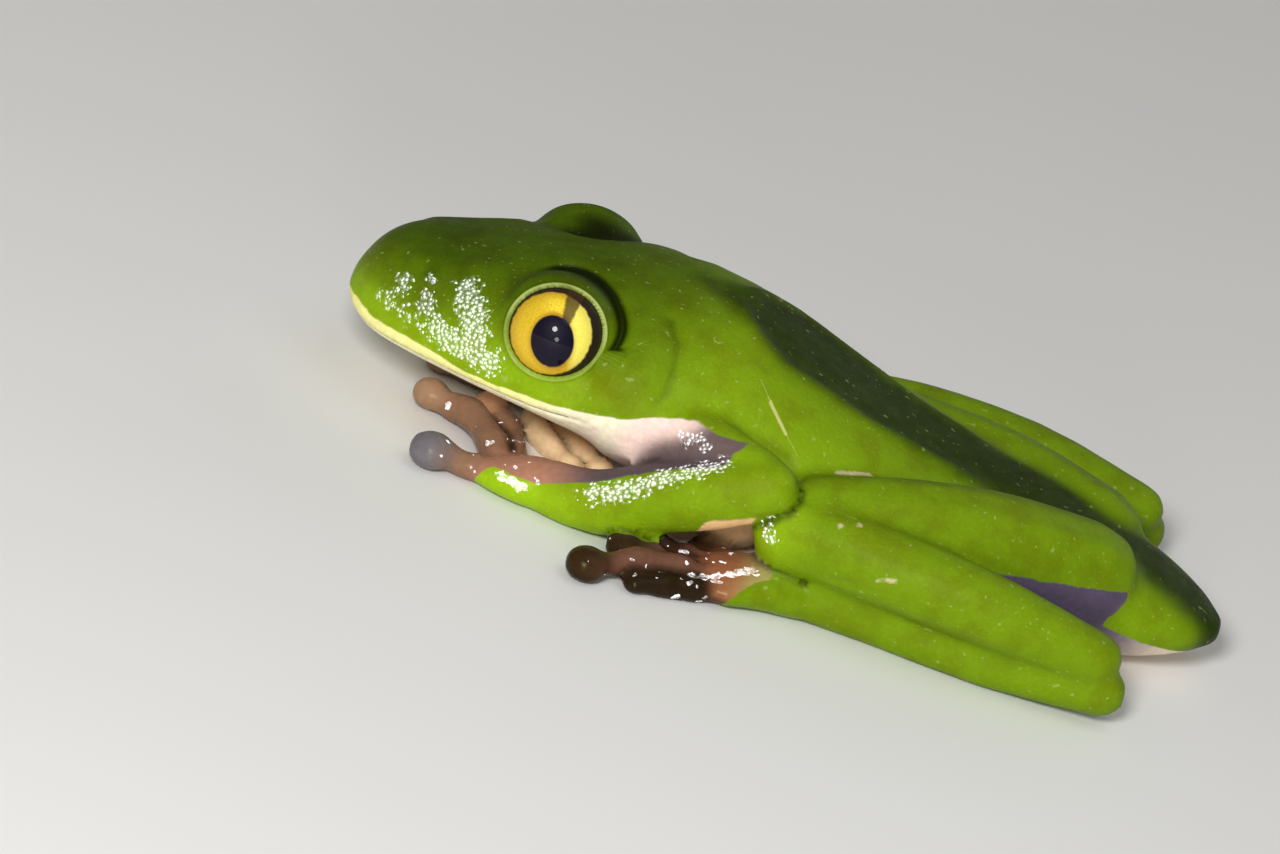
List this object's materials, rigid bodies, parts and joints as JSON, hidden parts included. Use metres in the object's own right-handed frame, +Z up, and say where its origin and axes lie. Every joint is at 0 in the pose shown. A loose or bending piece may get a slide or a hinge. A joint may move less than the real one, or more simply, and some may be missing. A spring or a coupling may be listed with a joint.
{
  "type": "golden-eyed leaf frog",
  "caption": "Life-size still model of a leaf frog crouching with folded limbs, level mouth line, large side-set eyes and splayed digits with round discs.",
  "frame": {"origin": "on the floor, under the middle of the whole frog's bounding box", "axes": "-X is the way the snout points, -Y is the frog's left side, +Z is up"},
  "size_m": [0.0692, 0.0452, 0.0161],
  "materials": {
    "green_skin": "moist smooth leaf-green skin, cream along the upper lip and below",
    "throat_skin": "moist cream skin with a pink tinge",
    "limb_skin": "moist mauve-brown skin, orange on the inner digits",
    "eye": "wet golden-yellow iris with a dark pupil and dark outer margin"
  },
  "bodies": {
    "root": {"eye_left": "eye", "eye_right": "eye", "finger_1_left": "limb_skin", "finger_1_right": "limb_skin", "finger_2_left": "limb_skin", "finger_2_right": "limb_skin", "finger_3_left": "limb_skin", "finger_3_right": "limb_skin", "finger_4_left": "limb_skin", "finger_4_right": "limb_skin", "foot_left": "limb_skin", "foot_right": "limb_skin", "forearm_left": "green_skin", "forearm_right": "green_skin", "hand_left": "limb_skin", "hand_right": "limb_skin", "head": "green_skin", "lower_jaw": "throat_skin", "shank_left": "green_skin", "shank_right": "green_skin", "tarsus_left": "limb_skin", "tarsus_right": "limb_skin", "thigh_left": "green_skin", "thigh_right": "green_skin", "toe_1_left": "limb_skin", "toe_1_right": "limb_skin", "toe_2_left": "limb_skin", "toe_2_right": "limb_skin", "toe_3_left": "limb_skin", "toe_3_right": "limb_skin", "toe_4_left": "limb_skin", "toe_4_right": "limb_skin", "toe_5_left": "limb_skin", "toe_5_right": "limb_skin", "torso": "green_skin", "upper_arm_left": "limb_skin", "upper_arm_right": "limb_skin"}
  },
  "joints": []
}
